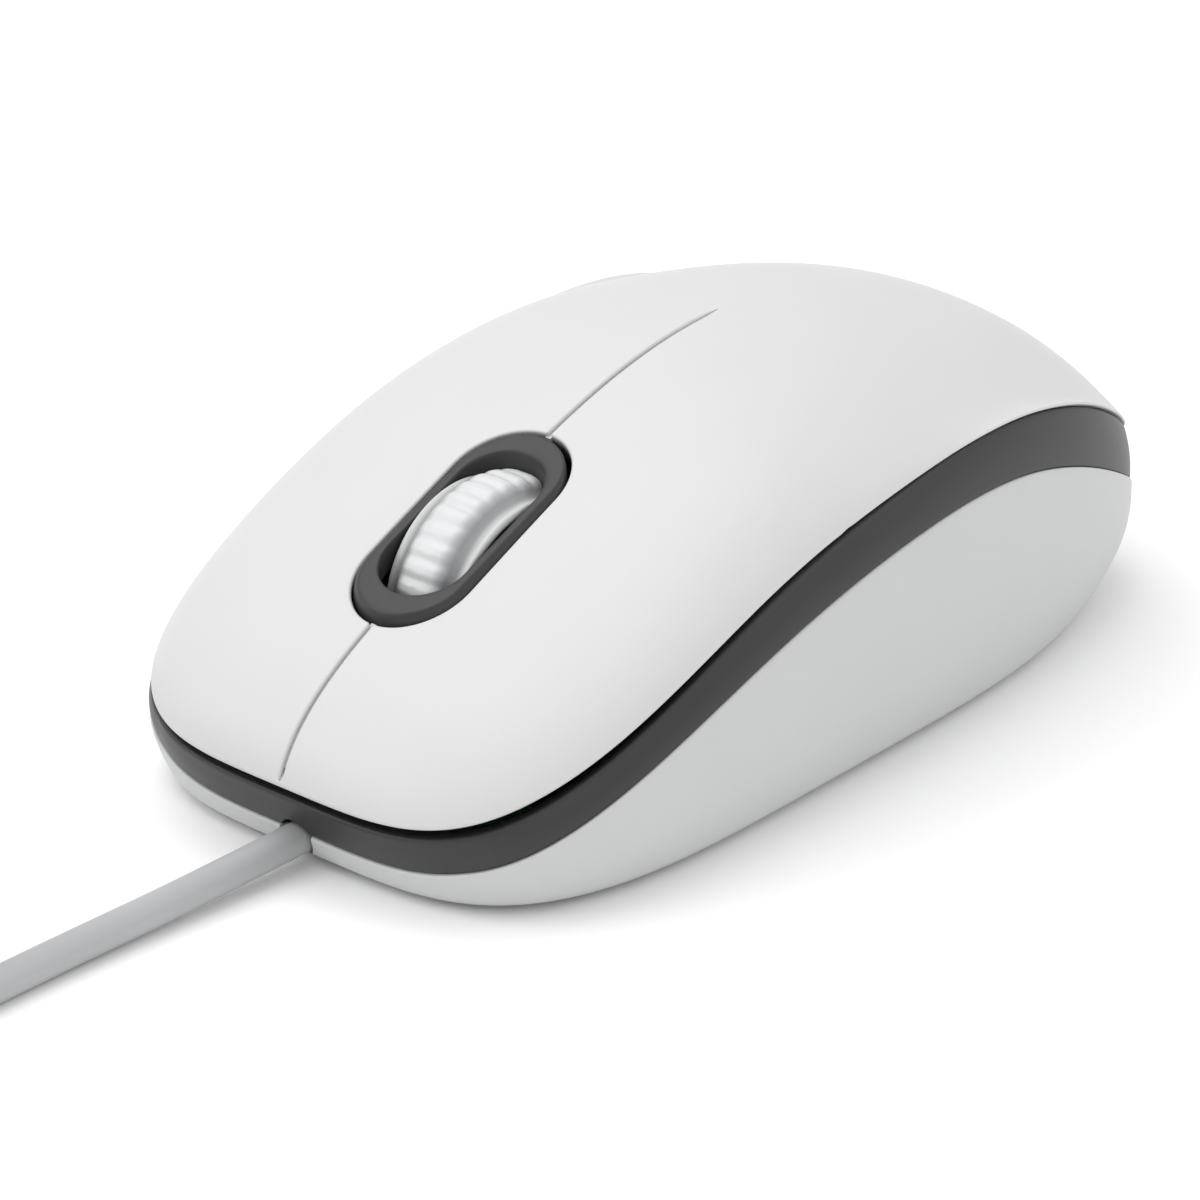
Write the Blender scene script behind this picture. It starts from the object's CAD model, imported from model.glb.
import bpy, bmesh, math
import numpy as np
from mathutils import Vector, Matrix


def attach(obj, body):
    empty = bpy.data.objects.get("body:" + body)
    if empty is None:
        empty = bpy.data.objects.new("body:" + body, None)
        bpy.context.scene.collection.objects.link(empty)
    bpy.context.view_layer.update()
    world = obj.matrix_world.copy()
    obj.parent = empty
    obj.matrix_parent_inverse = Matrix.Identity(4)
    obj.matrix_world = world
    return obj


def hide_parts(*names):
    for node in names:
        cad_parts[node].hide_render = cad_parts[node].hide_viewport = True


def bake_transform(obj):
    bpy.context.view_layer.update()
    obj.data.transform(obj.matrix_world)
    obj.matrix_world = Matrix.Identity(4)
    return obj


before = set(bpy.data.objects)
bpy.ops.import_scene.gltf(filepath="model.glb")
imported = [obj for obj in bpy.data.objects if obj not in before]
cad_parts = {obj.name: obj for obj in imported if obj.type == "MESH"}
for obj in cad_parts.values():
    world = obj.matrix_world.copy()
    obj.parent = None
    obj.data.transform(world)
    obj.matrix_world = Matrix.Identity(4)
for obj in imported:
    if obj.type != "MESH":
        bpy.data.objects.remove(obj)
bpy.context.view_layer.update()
scene = bpy.context.scene
MM = 0.001
pi = math.pi

# ------------------------------------------------------------------ camera
def aim_camera():
    az, el, roll = map(math.radians, (40.601, 24.916, 0.597))
    back = Vector((math.sin(az) * math.cos(el), -math.cos(az) * math.cos(el), math.sin(el)))
    right = Vector((math.cos(az), math.sin(az), 0))
    up = back.cross(right)
    r = right * math.cos(roll) + up * math.sin(roll)
    u = up * math.cos(roll) - right * math.sin(roll)
    eye = Vector((0, 0, 15)) + r * -6.918 + u * -5.621 + back * 521.36
    cam = bpy.data.objects.new("camera", bpy.data.cameras.new("camera"))
    cam.data.sensor_width = 36
    cam.data.lens = 5171.05 / 1200 * 36
    cam.data.clip_start, cam.data.clip_end = 0.01, 20
    m = Matrix((r, u, back)).transposed().to_4x4()
    m.translation = eye * MM
    cam.matrix_world = m
    scene.collection.objects.link(cam)
    scene.camera = cam
aim_camera()

# --------------------------------------------------------------- materials
def mat(name, col, rough=0.45, bump=0.02, scale=6000, var=0.03, metal=0.0, coat=0.0, coat_rough=0.2,
        spec=0.5, rvar=0.06, sss=0.0, trans=0.0, ior=1.46, stretch=(1, 1, 1), dist=0.00005, big=90):
    m = bpy.data.materials.new(name)
    m.use_nodes = True
    n, l = m.node_tree.nodes, m.node_tree.links
    b = n["Principled BSDF"]
    b.inputs["Metallic"].default_value = metal
    b.inputs["Coat Weight"].default_value = coat
    b.inputs["Coat Roughness"].default_value = coat_rough
    b.inputs["Specular IOR Level"].default_value = spec
    b.inputs["Subsurface Weight"].default_value = sss
    b.inputs["Subsurface Radius"].default_value = (0.004, 0.004, 0.004)
    b.inputs["Subsurface Scale"].default_value = 0.3
    b.inputs["Transmission Weight"].default_value = trans
    b.inputs["IOR"].default_value = ior
    tc = n.new("ShaderNodeTexCoord")
    mp = n.new("ShaderNodeMapping"); mp.inputs["Scale"].default_value = stretch
    l.new(tc.outputs["Object"], mp.inputs["Vector"])
    n1 = n.new("ShaderNodeTexNoise"); n1.inputs["Scale"].default_value = scale; n1.inputs["Detail"].default_value = 3
    n2 = n.new("ShaderNodeTexNoise"); n2.inputs["Scale"].default_value = big; n2.inputs["Detail"].default_value = 4
    l.new(mp.outputs[0], n1.inputs["Vector"]); l.new(mp.outputs[0], n2.inputs["Vector"])
    cr = n.new("ShaderNodeValToRGB")
    cr.color_ramp.elements[0].position, cr.color_ramp.elements[1].position = 0.3, 0.7
    cr.color_ramp.elements[0].color = tuple(c * (1 - var) for c in col) + (1,)
    cr.color_ramp.elements[1].color = tuple(min(c * (1 + var), 1) for c in col) + (1,)
    l.new(n2.outputs["Fac"], cr.inputs["Fac"]); l.new(cr.outputs["Color"], b.inputs["Base Color"])
    mr = n.new("ShaderNodeMapRange")
    mr.inputs["To Min"].default_value, mr.inputs["To Max"].default_value = rough - rvar, rough + rvar
    l.new(n1.outputs["Fac"], mr.inputs["Value"]); l.new(mr.outputs[0], b.inputs["Roughness"])
    bp = n.new("ShaderNodeBump"); bp.inputs["Strength"].default_value = bump; bp.inputs["Distance"].default_value = dist
    l.new(n1.outputs["Fac"], bp.inputs["Height"]); l.new(bp.outputs["Normal"], b.inputs["Normal"])
    return m

M = {
    "shell": mat("shell_plastic", (0.612, 0.613, 0.611), 0.42, 0.25, 7000, 0.008, spec=0.42, dist=0.00003),
    "base": mat("base_plastic", (0.55, 0.555, 0.555), 0.45, 0.3, 7000, 0.01, spec=0.4, dist=0.00003),
    "dark": mat("dark_trim_plastic", (0.030, 0.030, 0.031), 0.40, 0.35, 6500, 0.05, spec=0.45, dist=0.00003),
    "tyre": mat("wheel_rubber", (0.62, 0.625, 0.63), 0.36, 0.2, 5000, 0.03, spec=0.5, coat=0.25, coat_rough=0.25, sss=0.1),
    "cable": mat("cable_jacket", (0.42, 0.424, 0.43), 0.36, 0.3, 5200, 0.025, spec=0.45),
    "hub": mat("hub_plastic", (0.45, 0.45, 0.46), 0.4, 0.2, 5000, 0.03),
    "glide": mat("glide_film", (0.02, 0.02, 0.021), 0.28, 0.25, 4000, 0.1),
    "label": mat("label_film", (0.62, 0.62, 0.64), 0.35, 0.15, 3000, 0.03, metal=0.2),
    "steel": mat("plated_steel", (0.56, 0.56, 0.57), 0.28, 0.3, 3000, 0.05, metal=1.0, stretch=(1, 1, 0.1)),
    "board": mat("circuit_board", (0.015, 0.16, 0.05), 0.35, 0.4, 900, 0.25, big=420),
    "black": mat("black_moulding", (0.02, 0.02, 0.022), 0.4, 0.3, 5000, 0.12),
    "red": mat("red_plunger", (0.5, 0.05, 0.04), 0.4, 0.2, 5000, 0.05),
    "resin": mat("clear_resin", (0.8, 0.72, 0.74), 0.12, 0.05, 2500, 0.02, trans=0.7, rvar=0.03),
    "lens": mat("lens_plastic", (0.92, 0.94, 0.95), 0.08, 0.05, 2500, 0.01, trans=0.9, rvar=0.03),
    "can": mat("component_can", (0.25, 0.28, 0.4), 0.3, 0.2, 2500, 0.08, metal=0.5),
    "ivory": mat("connector_nylon", (0.72, 0.7, 0.6), 0.42, 0.25, 5000, 0.04),
    "lead": mat("lead_insulation", (0.35, 0.06, 0.05), 0.4, 0.3, 4000, 0.3, big=260),
    "gold": mat("gold_contact", (0.85, 0.6, 0.25), 0.22, 0.1, 3000, 0.05, metal=1.0),
    "white": mat("usb_insulator", (0.75, 0.75, 0.75), 0.4, 0.2, 4000, 0.02),
}
def shade_groove(m):
    """Darker rubber in the shallow groove beside the tread."""
    n, l = m.node_tree.nodes, m.node_tree.links
    b = n["Principled BSDF"]; src = b.inputs["Base Color"].links[0].from_socket
    tc = n.new("ShaderNodeTexCoord"); sx = n.new("ShaderNodeSeparateXYZ"); ab = n.new("ShaderNodeMath"); ab.operation = "ABSOLUTE"
    mr = n.new("ShaderNodeMapRange"); mr.inputs["From Max"].default_value = 0.0045
    cr = n.new("ShaderNodeValToRGB"); e = cr.color_ramp.elements
    e[0].position, e[1].position = 0.36, 0.62
    e[0].color, e[1].color = (1, 1, 1, 1), (0.42, 0.42, 0.43, 1)
    for p, c in ((0.76, 0.48), (0.94, 0.9)):
        k = e.new(p); k.color = (c, c, c, 1)
    mx = n.new("ShaderNodeMixRGB"); mx.blend_type = "MULTIPLY"; mx.inputs[0].default_value = 1
    l.new(tc.outputs["Object"], sx.inputs[0]); l.new(sx.outputs["X"], ab.inputs[0]); l.new(ab.outputs[0], mr.inputs["Value"])
    l.new(mr.outputs[0], cr.inputs["Fac"]); l.new(src, mx.inputs[1]); l.new(cr.outputs["Color"], mx.inputs[2])
    l.new(mx.outputs[0], b.inputs["Base Color"])
shade_groove(M["tyre"])
NODE_MAT = {
    "front_foot": "glide", "rear_foot": "glide", "rating_label": "label", "case_screw": "steel",
    "main_pcb": "board", "pcb_screws": "steel", "left_switch": "black", "right_switch": "black",
    "middle_switch": "black", "left_plunger": "red", "right_plunger": "red", "middle_plunger": "red",
    "wheel_hub": "hub", "wheel_cradle": "hub", "wheel_bracket": "hub", "click_spring": "steel",
    "wheel_emitter": "resin", "wheel_detector": "black", "optical_sensor": "black", "led_clip": "black",
    "tracking_led": "resin", "optical_lens": "lens", "capacitor": "can", "chip_resistors": "black",
    "resonator": "can", "cable_header": "ivory", "lead_connector": "ivory", "inner_leads": "lead",
    "strain_relief": "cable", "usb_overmould": "cable", "usb_shell": "steel", "usb_tongue": "white",
    "usb_contacts": "gold", "top_cover": "shell", "left_button": "shell", "right_button": "shell",
    "middle_band": "dark", "base_shell": "base", "wheel_bezel": "dark", "scroll_tyre": "tyre",
    "cable": "cable", "cable_tail": "cable", "cable_coil": "cable", "cable_tie": "black",
}
for name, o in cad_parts.items():
    o.data.materials.clear()
    o.data.materials.append(M[NODE_MAT[name]])

def make(name, verts, faces, material, body, smooth=True, normals=None, angle=None):
    me = bpy.data.meshes.new(name)
    me.from_pydata([tuple(float(c) * MM for c in v) for v in verts], [], faces)
    me.validate()
    me.materials.append(M[material])
    o = bpy.data.objects.new(name, me)
    scene.collection.objects.link(o)
    if smooth:
        me.shade_smooth()
    if angle is not None:
        me.set_sharp_from_angle(angle=math.radians(angle))
    if normals is not None:
        me.normals_split_custom_set_from_vertices([tuple(map(float, v)) for v in normals])
    if body:
        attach(o, body)
    return o

# ------------------------------------------------- form of the housing (mm)
STN = np.array([-56.5, -38.0, -18.0, 2.0, 22.0, 40.0, 56.5])
STN4 = np.linspace(-56.5, 56.5, 4)
BAND_TOP = [8.483, 16.511, 24.513, 28.909, 30.099, 24.555, 13.370]
BAND_BOT = [3.574, 11.981, 19.666, 23.884, 23.794, 17.096, 8.100]
SPINE = [17.871, 24.455, 33.130, 38.151, 37.131, 32.061, 24.686]
CROWN = [1.460, 3.136, 9.549, 10.003]
half, mid_y, n_front, n_rear, taper = 28.331, -7.912, 3.899, 3.741, -0.028
FLARE, TUCK = [1.482, -0.181, -1.277], [3.296, -2.906, 3.233, -0.767]
TUCK_E, EDGE_P = [3.835, -3.223, -0.383], [7.748, -1.884, 1.595]

def natural_spline(xs, ys):
    xs = np.asarray(xs, float); ys = np.asarray(ys, float); n = len(xs); h = np.diff(xs)
    a = np.zeros((n, n)); b = np.zeros(n); a[0, 0] = a[-1, -1] = 1
    for i in range(1, n - 1):
        a[i, i - 1], a[i, i], a[i, i + 1] = h[i - 1], 2 * (h[i - 1] + h[i]), h[i]
        b[i] = 6 * ((ys[i + 1] - ys[i]) / h[i] - (ys[i] - ys[i - 1]) / h[i - 1])
    m = np.linalg.solve(a, b)
    def f(x):
        x = np.asarray(x, float)
        i = np.clip(np.searchsorted(xs, x) - 1, 0, n - 2); d, hi = x - xs[i], h[i]
        s = (ys[i + 1] - ys[i]) / hi - hi * (2 * m[i] + m[i + 1]) / 6
        v = ys[i] + s * d + m[i] * d**2 / 2 + (m[i + 1] - m[i]) * d**3 / (6 * hi)
        s0 = (ys[1] - ys[0]) / h[0] - h[0] * (2 * m[0] + m[1]) / 6
        s1 = (ys[-1] - ys[-2]) / h[-1] + h[-1] * (m[-2] + 2 * m[-1]) / 6
        v = np.where(x < xs[0], ys[0] + s0 * (x - xs[0]), v)
        return np.where(x > xs[-1], ys[-1] + s1 * (x - xs[-1]), v)
    return f

band_top, band_bot = natural_spline(STN, BAND_TOP), natural_spline(STN, BAND_BOT)
spine, crown = natural_spline(STN, SPINE), natural_spline(STN4, CROWN)
def cs(c, t): return sum(a * np.cos(k * t) for k, a in enumerate(c))

def outline(t):
    """Plan outline at parameter t (0 front, pi rear), and its wall terms."""
    t = np.asarray(t, float); s, c = np.sin(t), np.cos(t)
    n = n_rear + (n_front - n_rear) / (1 + np.exp(-6 * c))
    b = np.where(c > 0, 56.5 + mid_y, 56.5 - mid_y)
    x = half * np.sign(s) * np.abs(s) ** (2 / n)
    dy = -b * np.sign(c) * np.abs(c) ** (2 / n)
    return x * (1 + taper * dy / 56.5), mid_y + dy

TT = np.linspace(0, pi, 4001)
_x, _y = outline(TT)
PHI = np.arctan2(_x, -(_y - mid_y)); PR = np.hypot(_x, _y - mid_y)
def edge_up(t):
    """Height of the shell's rolled lower edge: full at the front, fine at the rear."""
    return 0.10 + 0.65 * np.clip(np.cos(t) + 0.3, 0, 1)

def top_z(x, y):
    dy = y - mid_y; phi = np.arctan2(np.abs(x), -dy)
    t = np.interp(phi, PHI, TT); rho = np.minimum(np.hypot(x, dy) / np.interp(phi, PHI, PR), 1)
    zb = band_top(outline(t)[1]) + edge_up(t)
    p = np.maximum(cs(EDGE_P, t), 1.2); f1 = np.sqrt(1 - 0.995**p)
    f = (np.sqrt(np.maximum(1 - (0.995 * rho) ** p, 0)) - f1) / (1 - f1)
    d = spine(y) - crown(y) * (x / 31) ** 2 - zb
    return zb + 0.5 * (d + np.sqrt(d * d + 0.25)) * f

def wall(t, z, inset=0.0):
    """Point on the side wall at outline parameter t and height z."""
    x, y = outline(t); zt = band_top(y); s = np.clip((zt - z) / (zt - 0.6), 0, 1)
    off = cs(FLARE, t) * 4 * s * (1 - s) - cs(TUCK, t) * s ** np.maximum(cs(TUCK_E, t), 0.8) - inset
    r = np.hypot(x, y - mid_y)
    return np.stack([x + off * x / r, y + off * (y - mid_y) / r, z + 0 * x], -1)

# even spacing round the outline
def even_t(n, t0=0.0, t1=2 * pi):
    tt = np.linspace(t0, t1, 6001)
    P = wall(tt, band_bot(outline(tt)[1])); d = np.r_[0, np.cumsum(np.linalg.norm(np.diff(P, axis=0), axis=1))]
    return np.interp(np.linspace(0, d[-1], n), d, tt)

# ------------------------------------------------------------- the top shell
RING_YC, RING_L, RING_W = -31.05, 25.1, 13.04
IN_YC, IN_L, IN_W = -30.75, 17.9, 9.4
SLIT_END = 7.2

def stadium(yc, L, W, n):
    """Points of half a stadium, x >= 0, from its front to its rear end."""
    r = W / 2; s = L / 2 - r
    a = np.linspace(-pi / 2, 0, n)
    fr = np.stack([r * np.cos(a), yc - s + r * np.sin(a)], -1)
    re = np.stack([r * np.cos(a + pi / 2), yc + s + r * np.sin(a + pi / 2)], -1)
    st = np.stack([np.full(n, r), np.linspace(yc - s, yc + s, n + 2)[1:-1]], -1)
    return np.concatenate([fr, st, re])

T_OUT = np.linspace(0, pi, 20001)
X_OUT, Y_OUT = outline(T_OUT)

def half_top():
    """Grid over half of the top: rows across at constant y, closer together at the ends."""
    roll = 0.28
    g0 = 0.20 + roll
    op = stadium(RING_YC, RING_L + 2 * roll, RING_W + 2 * roll, 22)
    tt = even_t(231, 0, pi)
    y1 = outline(tt)[1]
    t_first = np.interp(g0, X_OUT[:8000], T_OUT[:8000])
    y_first = float(outline(t_first)[1])
    ys = np.unique(np.round(np.concatenate([y1[(y1 > y_first)], [y_first, SLIT_END], op[:, 1]]), 5))
    ys = ys[ys <= 56.5]
    keep = [ys[0]]
    for v in ys[1:]:
        if v - keep[-1] > 2e-4:
            keep.append(v)
    if keep[-1] < 56.5:
        keep.append(56.5)
    ys = np.array(keep)
    x_end = np.interp(ys, Y_OUT, X_OUT)
    gap = g0 * np.clip((SLIT_END - ys) / 3.0, 0, 1) ** 0.5
    x_op = np.interp(ys, op[:, 1], op[:, 0], left=0, right=0)
    x0 = np.minimum(np.maximum(gap, x_op), x_end)
    w = np.linspace(0, 1, 90)
    u = 1 - (1 - w) ** 1.9
    X = x0[:, None] + (x_end - x0)[:, None] * u[None]
    return np.stack([X, np.repeat(ys[:, None], len(w), 1)], -1)

def grid_faces(nr, nc, base=0, flip=False, close=False):
    F = []
    for i in range(nr - 1):
        for j in range(nc if close else nc - 1):
            a, b = base + i * nc + j, base + i * nc + (j + 1) % nc
            c, d = b + nc, a + nc
            F.append((a, d, c, b) if flip else (a, b, c, d))
    return F

def normal_of(x, y):
    h = 0.02
    zx = (top_z(x + h, y) - top_z(x - h, y)) / (2 * h); zy = (top_z(x, y + h) - top_z(x, y - h)) / (2 * h)
    n = np.stack([-zx, -zy, np.ones_like(zx)], -1)
    return n / np.linalg.norm(n, axis=-1, keepdims=True)

def edge_table():
    """Tilt of the surface just inside the edge, all round."""
    t = np.linspace(0, pi, 721); x, y = outline(t)
    r = np.hypot(x, y - mid_y); k = 1 - 0.35 / r
    n = normal_of(x * k, mid_y + (y - mid_y) * k)
    return t, np.arctan2(n[:, 2], np.hypot(n[:, 0], n[:, 1]))
T_ED, TILT = edge_table()

def build_half(sign, name, replaced):
    P = half_top()
    nv, nu = P.shape[:2]
    x, y = P[..., 0], P[..., 1]
    ph = np.arctan2(x, -(y - mid_y)); tt = np.interp(ph, PHI, TT)
    r_out = np.interp(ph, PHI, PR); rho = np.minimum(np.hypot(x, y - mid_y) / r_out, 1)
    tilt = np.interp(tt, T_ED, TILT); RR = np.maximum(edge_up(tt), 0.3) / (1 + np.sin(tilt))
    s = 1 - np.maximum(RR * (1 - np.cos(tilt)), 0.05) / r_out * rho ** 8
    x, y = x * s, mid_y + (y - mid_y) * s
    z = top_z(x, y); N = normal_of(x, y)
    o1 = np.stack(outline(tt + 1e-3), -1); o0 = np.stack(outline(tt - 1e-3), -1)
    tg = o1 - o0; tg /= np.linalg.norm(tg, axis=-1, keepdims=True) + 1e-12
    ex, ey = np.sin(ph), -np.cos(ph)
    out = np.stack([-tg[..., 1], tg[..., 0], 0 * ex], -1)
    out *= np.where((out[..., 0] * ex + out[..., 1] * ey) < 0, -1, 1)[..., None]
    O = np.stack([x, y, z], -1)
    k = 1 - 0.075 * rho ** 4
    xi, yi = np.maximum(x * k, np.minimum(x, x[:, :1])), mid_y + (y - mid_y) * k
    I = np.stack([xi, yi, top_z(xi, yi) - 1.7], -1)
    verts = [*O.reshape(-1, 3), *I.reshape(-1, 3)]; norm = [*N.reshape(-1, 3), *(-N.reshape(-1, 3))]
    faces = grid_faces(nv, nu, 0) + grid_faces(nv, nu, nv * nu, flip=True)
    # outer rim, rolled under
    rim = [(i, nu - 1) for i in range(nv)]
    prev = [i * nu + j for i, j in rim]
    for f in np.linspace(0, 1, 10)[1:]:
        cur = []
        for i, j in rim:
            n2 = out[i, j]; R = RR[i, j]
            a0 = math.atan2(N[i, j, 2], float(N[i, j] @ n2)); a = a0 + (math.radians(-75) - a0) * f
            up = np.array([0, 0, 1.0])
            c = O[i, j] - R * (n2 * math.cos(a0) + up * math.sin(a0))
            d = n2 * math.cos(a) + up * math.sin(a)
            cur.append(len(verts)); verts.append(c + R * d); norm.append(d)
        faces += [(prev[k], cur[k], cur[k + 1], prev[k + 1]) for k in range(len(rim) - 1)]
        prev = cur
    inner = [nv * nu + i * nu + j for i, j in rim]
    faces += [(prev[k], inner[k], inner[k + 1], prev[k + 1]) for k in range(len(rim) - 1)]
    # inner rim along the slot and the bezel opening, with a small round
    side = [i for i in range(nv) if O[i, 0, 1] < SLIT_END]
    r = 0.28
    b = np.zeros((nv, 3)); tgt = np.gradient(O[:, 0], axis=0); tgt /= np.linalg.norm(tgt, axis=1, keepdims=True)
    b = np.cross(tgt, N[:, 0]); b *= np.where(b[:, 0] > 0, -1, 1)[:, None]
    prev = [i * nu for i in side]
    for a in np.radians([22, 45, 68, 90]):
        cur = []
        for i in side:
            k = min(1, O[i, 0, 0] / 0.45)
            p = O[i, 0] + r * k * (N[i, 0] * (math.cos(a) - 1) + b[i] * math.sin(a))
            cur.append(len(verts)); verts.append(p); norm.append(N[i, 0] * math.cos(a) + b[i] * math.sin(a))
        faces += [(prev[k], prev[k + 1], cur[k + 1], cur[k]) for k in range(len(side) - 1)]
        prev = cur
    inner = [nv * nu + i * nu for i in side]
    faces += [(prev[k], prev[k + 1], inner[k + 1], inner[k]) for k in range(len(side) - 1)]
    verts = np.array(verts); norm = np.array(norm)
    norm /= np.linalg.norm(norm, axis=1, keepdims=True) + 1e-12
    if sign > 0:
        pass
    else:
        verts[:, 0] *= -1; norm[:, 0] *= -1; faces = [f[::-1] for f in faces]
    # faces wound outwards: test one face of the outer grid
    f = faces[(nv // 2) * (nu - 1) + nu // 2]
    v = verts[list(f)]
    if np.cross(v[1] - v[0], v[2] - v[0])[2] < 0:
        faces = [f[::-1] for f in faces]
    o = make(name, verts, faces, "shell", None, normals=norm)
    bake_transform(o)
    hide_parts(*replaced)
    return o

build_half(1, "left_shell_skin", ("left_button", "top_cover"))
build_half(-1, "right_shell_skin", ("right_button",))

def web():
    """Light rib of the right half that closes the slot a little below the surface."""
    verts, faces = [], []
    for y0, y1 in ((-56.0, -43.4), (-18.6, SLIT_END + 0.3)):
        base = len(verts); ys = np.linspace(y0, y1, 60)
        x = np.full(60, 0.5); z = top_z(x, ys); n = normal_of(x, ys); n[:, 0] = 0
        for y, h, m in zip(ys, z, n):
            p, q = np.array([0, y, h]) - 0.5 * m, np.array([0, y, h]) - 1.3 * m
            verts += [(-0.46, p[1], p[2]), (0.19, p[1], p[2]), (0.19, q[1], q[2]), (-0.46, q[1], q[2])]
        for i in range(59):
            for j in range(4):
                a, b = base + 4 * i + j, base + 4 * i + (j + 1) % 4
                faces.append((a, b, b + 4, a + 4))
        faces += [(base + 3, base + 2, base + 1, base), tuple(base + 4 * 59 + j for j in range(4))]
    o = make("slot_rib", verts, faces, "shell", None, smooth=False)
    bm = bmesh.new(); bm.from_mesh(o.data); bmesh.ops.recalc_face_normals(bm, faces=bm.faces); bm.to_mesh(o.data); bm.free()
    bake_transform(o)
web()

# ------------------------------------------------------------------- the band
def lathe(name, rows, material, body, close_rows=False, angle=None):
    nr, nc = len(rows), len(rows[0])
    F = grid_faces(nr, nc, 0, close=True)
    if close_rows:
        F += [((nr - 1) * nc + j, (nr - 1) * nc + (j + 1) % nc, (j + 1) % nc, j) for j in range(nc)]
    return make(name, np.concatenate(rows), F, material, body, angle=angle)

ts = even_t(721)[:-1]
oy = outline(ts)[1]
gap = 0.16 + np.maximum(0.3 - edge_up(np.where(ts > pi, 2 * pi - ts, ts)), 0) + np.maximum(SLIT_END - oy, 0) * 0.0105
zt, zb = band_top(oy) - gap, band_bot(oy)
rows = []
for ins, z in [(3.2, zb + 0.4), (3.2, zt - 0.5), (2.6, zt - 0.15), (1.4, zt - 0.05), (0.75, zt), (0.45, zt - 0.06),
               (0.28, zt - 0.2), (0.2, zt - 0.42)]:
    rows.append(wall(ts, z, ins))
for k in np.linspace(0, 1, 12)[1:-1]:
    rows.append(wall(ts, zt - 0.42 + (zb + 0.25 - zt + 0.42) * k, 0.2 - 0.12 * math.sin(pi * k)))
for ins, z in [(0.2, zb + 0.25), (0.27, zb + 0.1), (0.42, zb + 0.02), (0.8, zb), (3.2, zb)]:
    rows.append(wall(ts, z, ins))
band = lathe("waist_band_skin", rows, "dark", "housing", close_rows=True, angle=50)
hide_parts("middle_band")

# ------------------------------------------------------------------- the base
rows = []
BR = 1.5
for ins, z in [(2.0, zb - 0.5), (0.6, zb - 0.02), (0.3, zb - 0.03), (0.12, zb - 0.12), (0.02, zb - 0.32)]:
    rows.append(wall(ts, z, ins))
for k in np.linspace(0, 1, 26)[1:-1]:
    rows.append(wall(ts, (zb - 0.32) * (1 - k) + (0.6 + BR) * k))
for a in np.linspace(0, pi / 2, 9):
    rows.append(wall(ts, 0.6 + BR * (1 - math.sin(a)) + 0 * zb, BR * (1 - math.cos(a))))
foot = rows[-1]
for k in (0.97, 0.85, 0.6, 0.3, 0.1):
    rows.append(np.stack([foot[:, 0] * k, foot[:, 1] * k, foot[:, 2]], -1))
inn = rows[-1] + np.array([0, 0, 1.9]); rows.append(inn)
for k in (0.3, 0.6, 0.85, 0.93):
    rows.append(np.stack([foot[:, 0] * k, foot[:, 1] * k, foot[:, 2] + 1.9], -1))
for k in (0.15, 0.5, 0.8):
    rows.append(wall(ts, 2.5 + (zb - 0.6 - 2.5) * k, 2.0))
base = lathe("base_skin", [np.array(r) for r in rows], "base", None, close_rows=True)

def cutter(kind, **k):
    bm = bmesh.new()
    if kind == "cyl":
        bmesh.ops.create_cone(bm, cap_ends=True, segments=48, radius1=k["r"] * MM, radius2=k["r"] * MM, depth=k["d"] * MM)
    else:
        bmesh.ops.create_cube(bm, size=1)
        bmesh.ops.scale(bm, vec=[c * MM for c in k["size"]], verts=bm.verts)
        bmesh.ops.bevel(bm, geom=[e for e in bm.edges if abs((e.verts[0].co - e.verts[1].co).normalized().dot(Vector(k["along"]))) > 0.9],
                        offset=k["rad"] * MM, segments=6, affect="EDGES")
    me = bpy.data.meshes.new("cut"); bm.to_mesh(me); bm.free()
    o = bpy.data.objects.new("cut", me); scene.collection.objects.link(o)
    o.matrix_world = Matrix.Translation(Vector(k["at"]) * MM) @ Matrix.Rotation(k.get("rx", 0), 4, "X")
    return o
cuts = [cutter("cyl", r=2.05, d=14, at=(0, -53, 2.75), rx=pi / 2),
        cutter("box", size=(4.1, 14, 3.0), along=(0, 1, 0), rad=0.1, at=(0, -53, 4.25)),
        cutter("box", size=(7.5, 10, 6), along=(0, 0, 1), rad=1.2, at=(0, 0.5, 1)),
        cutter("cyl", r=3.2, d=8, at=(0, 32, 2))]
def boolean(o, cuts):
    bpy.context.view_layer.update()
    for c in cuts:
        md = o.modifiers.new("cut", "BOOLEAN"); md.operation = "DIFFERENCE"; md.object = c; md.solver = "EXACT"
    dg = bpy.context.evaluated_depsgraph_get()
    me = bpy.data.meshes.new_from_object(o.evaluated_get(dg))
    o.modifiers.clear(); o.data = me
bm = bmesh.new(); bm.from_mesh(base.data)
bmesh.ops.recalc_face_normals(bm, faces=bm.faces); bm.to_mesh(base.data); bm.free()
boolean(base, cuts)
base.data.shade_smooth(); base.data.set_sharp_from_angle(angle=math.radians(38))
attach(base, "housing"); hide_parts("base_shell")
boolean(band, cuts[:1])
band.data.shade_smooth(); band.data.set_sharp_from_angle(angle=math.radians(50))
for c in cuts:
    bpy.data.objects.remove(c)

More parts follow.
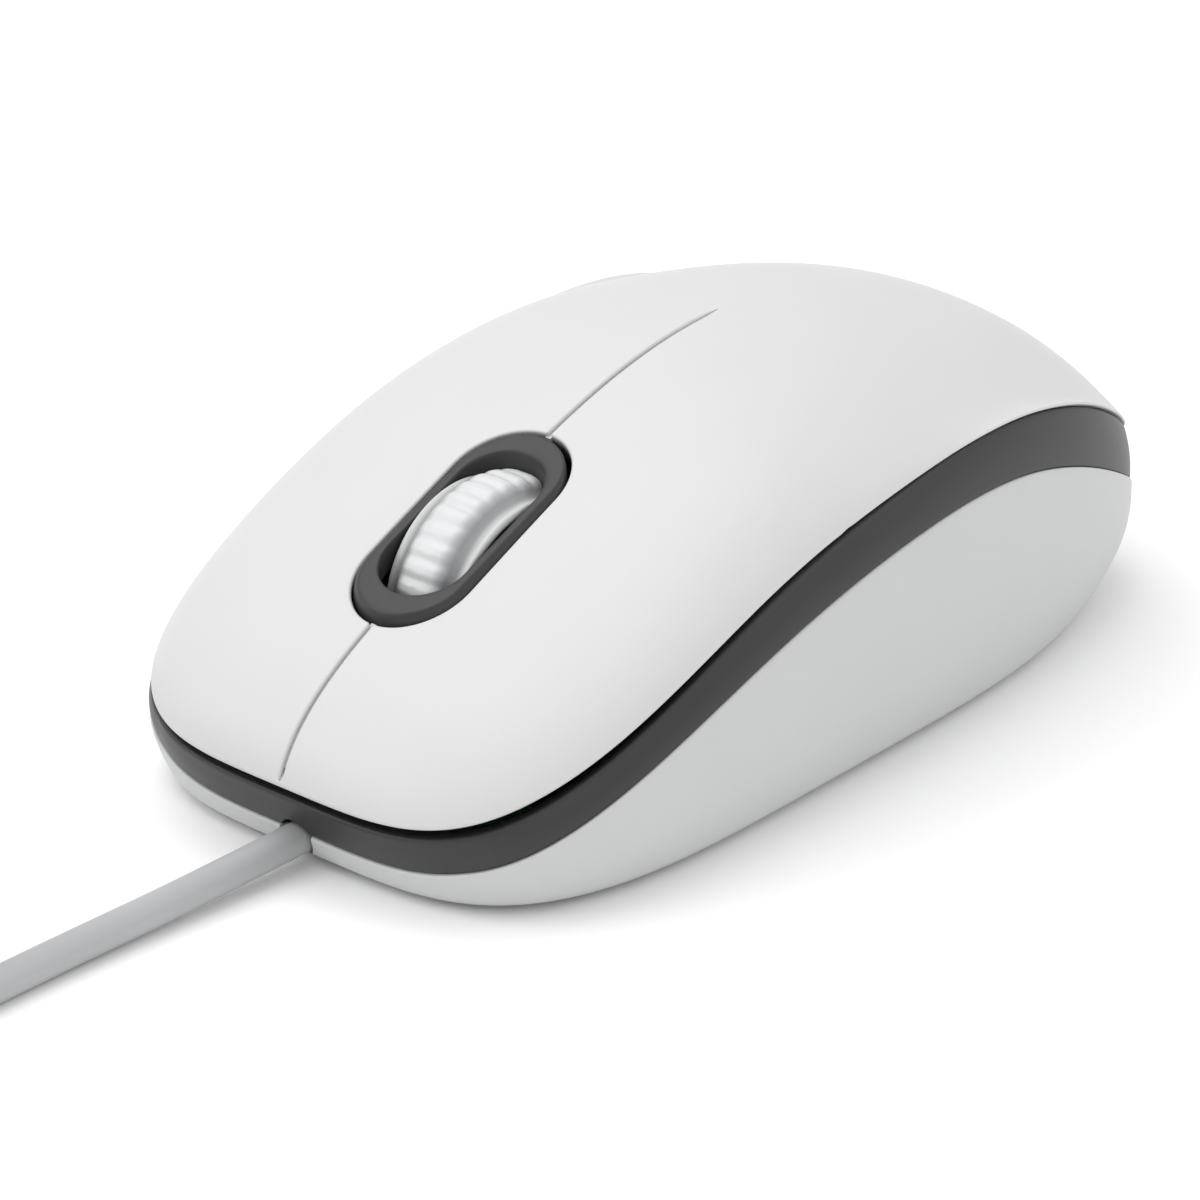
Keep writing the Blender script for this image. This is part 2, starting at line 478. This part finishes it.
# ------------------------------------------------------------------ the bezel
def ring_row(yc, L, W, dz, n=40):
    """A stadium on the bezel's top plane, which leans back 23.66 degrees."""
    lean = math.radians(23.66)
    h = stadium(0, L, W, n)
    h = np.concatenate([h, (h * [-1, 1])[::-1][1:-1]])
    return np.stack([h[:, 0], yc + h[:, 1] * math.cos(lean),
                     27.61 + math.tan(lean) * (yc + 31.3) + h[:, 1] * math.sin(lean) + dz], -1)
rows = [ring_row(-31.1, 26.0, 12.9, -5.2), ring_row(-31.1, 26.05, 12.95, -1.3), ring_row(-31.1, 26.0, 12.84, -0.8),
        ring_row(-31.1, 25.95, 12.35, -0.45), ring_row(-31.08, 25.85, 11.9, -0.2), ring_row(-31.08, 25.7, 11.55, -0.06),
        ring_row(-31.08, 25.5, 11.3, 0.0), ring_row(-31.05, 25.0, 11.0, 0.03), ring_row(-31.0, 22.6, 10.4, 0.03),
        ring_row(-30.97, 21.1, 10.05, 0.01), ring_row(-30.95, 20.7, 9.86, -0.04), ring_row(-30.94, 20.52, 9.76, -0.14),
        ring_row(-30.94, 20.42, 9.7, -0.4), ring_row(-30.94, 20.3, 9.6, -2.6), ring_row(-30.94, 21.8, 10.8, -2.9),
        ring_row(-31.0, 23.5, 11.6, -5.2)]
bezel = lathe("wheel_bezel_skin", rows, "dark", "housing", close_rows=True, angle=60)
bm = bmesh.new(); bm.from_mesh(bezel.data); bmesh.ops.recalc_face_normals(bm, faces=bm.faces); bm.to_mesh(bezel.data); bm.free()
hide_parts("wheel_bezel")

# -------------------------------------------------------------- the wheel tyre
WY, WZ, WR, WH = -26.5, 18.7, 12.2, 3.8
NR = 36
na = NR * 14
ang = np.linspace(0, 2 * pi, na, endpoint=False)
rib = 0.5 + 0.5 * np.cos(ang * NR)
rib = np.clip(rib * 1.25, 0, 1) ** 0.8
rows = []
HW = 4.5
xs = [(-3.2, 9.7, 0), (0.1 - HW, 9.75, 0), (-HW, 9.95, 0)]
prof = []
for s in np.linspace(-1, 1, 51):
    x = HW * s
    e = abs(s)
    r = np.interp(e, [0, 0.2, 0.35, 0.48, 0.58, 0.66, 0.74, 0.82, 0.9, 0.97, 1.0], [12.08, 12.04, 11.93, 11.72, 11.42, 11.06, 10.76, 10.64, 10.68, 10.7, 10.55])
    amp = 0.24 * (1 - min(1, max(0, (e - 0.4) / 0.26)) ** 1.5)
    prof.append((x, r, amp))
prof = xs + prof + [(HW, 9.95, 0), (HW - 0.1, 9.75, 0), (3.2, 9.7, 0)]
for x, r, amp in prof:
    rr = r + amp * (rib - 0.35) if amp else np.full(na, r)
    rr = np.minimum(rr, WR)
    rows.append(np.stack([np.full(na, x), WY + rr * np.sin(ang), WZ + rr * np.cos(ang)], -1))
tyre = lathe("scroll_tyre_skin", rows, "tyre", "wheel", close_rows=True, angle=70)
bm = bmesh.new(); bm.from_mesh(tyre.data); bmesh.ops.recalc_face_normals(bm, faces=bm.faces); bm.to_mesh(tyre.data); bm.free()
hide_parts("scroll_tyre")

# ------------------------------------------------------------------- the cable
D_C = 3.35
LEAD = [(0.0, -47.6, 2.75), (-0.35, -65.5, 2.2), (-1.6, -84.0, 1.675), (-1.7, -99.0, 1.675)]
TAIL = [(-52.0, -101.0, 10.2), (-54.0, -88.5, 5.4), (-57.6, -77.6, 3.8)]
CX, CY = -28.0, -112.0
pts = list(LEAD)
R_COL = [23.35, 19.95, 16.55, 13.15]
Z_LAY = [1.85, 5.2, 8.55, 11.9]
turns = []
for k, z in enumerate(Z_LAY):
    cols = R_COL if k % 2 == 0 else R_COL[::-1]
    turns += [(r, z) for r in cols]
# clockwise from the right-hand side; the last turn ends at the left, heading back towards the mouse
N_T = 16
total = 15.5
s = np.arange(0.04, total, 1 / N_T)
for v in s:
    i = int(v); f = v - i
    r0, z0 = turns[i]; r1, z1 = turns[min(i + 1, len(turns) - 1)]
    if i >= 15: r1, z1 = r0, z0
    if z0 == z1:
        w = f; r = r0 + (r1 - r0) * w; z = z0
    else:
        w = min(1, max(0, (f - 0.45) / 0.55)); w = w * w * (3 - 2 * w); r = r0 + (r1 - r0) * w; z = z0 + (z1 - z0) * w
    a = -2 * pi * v
    pts.append((CX + r * math.cos(a), CY + r * math.sin(a), z))
pts += TAIL
cu = bpy.data.curves.new("cable_run", "CURVE"); cu.dimensions = "3D"
cu.bevel_depth = D_C / 2 * MM; cu.bevel_resolution = 6; cu.resolution_u = 8; cu.use_fill_caps = True
sp = cu.splines.new("NURBS"); sp.points.add(len(pts) - 1)
for p, q in zip(sp.points, pts):
    p.co = (q[0] * MM, q[1] * MM, q[2] * MM, 1)
sp.order_u = 3; sp.use_endpoint_u = True
cu.materials.append(M["cable"])
cable = bpy.data.objects.new("cable_run", cu); scene.collection.objects.link(cable)
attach(cable, "housing"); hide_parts("cable", "cable_tail", "cable_coil")

# ---------------------------------------------------------------- floor, light
def area(name, loc, size, energy, target=(0, 0, 0.015), col=(1, 1, 1)):
    l = bpy.data.lights.new(name, "AREA"); l.shape = "RECTANGLE"; l.size, l.size_y = size; l.energy = energy; l.color = col
    o = bpy.data.objects.new(name, l); scene.collection.objects.link(o)
    o.location = loc; o.rotation_euler = (Vector(target) - Vector(loc)).to_track_quat("-Z", "Y").to_euler()
    return o
def floor():
    me = bpy.data.meshes.new("floor"); s = 6
    me.from_pydata([(-s, -s, 0), (s, -s, 0), (s, s, 0), (-s, s, 0)], [], [(0, 1, 2, 3)])
    me.materials.append(mat("floor_paper", (0.96, 0.96, 0.96), 0.9, 0.05, 800, 0.004, spec=0.05, rvar=0.03))
    o = bpy.data.objects.new("floor", me); scene.collection.objects.link(o)
floor()
w = bpy.data.worlds.new("studio"); scene.world = w; w.use_nodes = True
w.node_tree.nodes["Background"].inputs[0].default_value = (1, 1, 1, 1)
w.node_tree.nodes["Background"].inputs[1].default_value = 0.80
area("top_key", (-0.25, -0.05, 0.75), (0.7, 0.7), 2.7)
area("left_fill", (-0.55, -0.65, 0.5), (0.6, 0.5), 1.9)
area("near_fill", (0.6, -0.25, 0.35), (0.5, 0.4), 0.35)
area("rear_fill", (0.55, 0.45, 0.55), (0.5, 0.5), 0.6)
scene.view_settings.view_transform = "Standard"
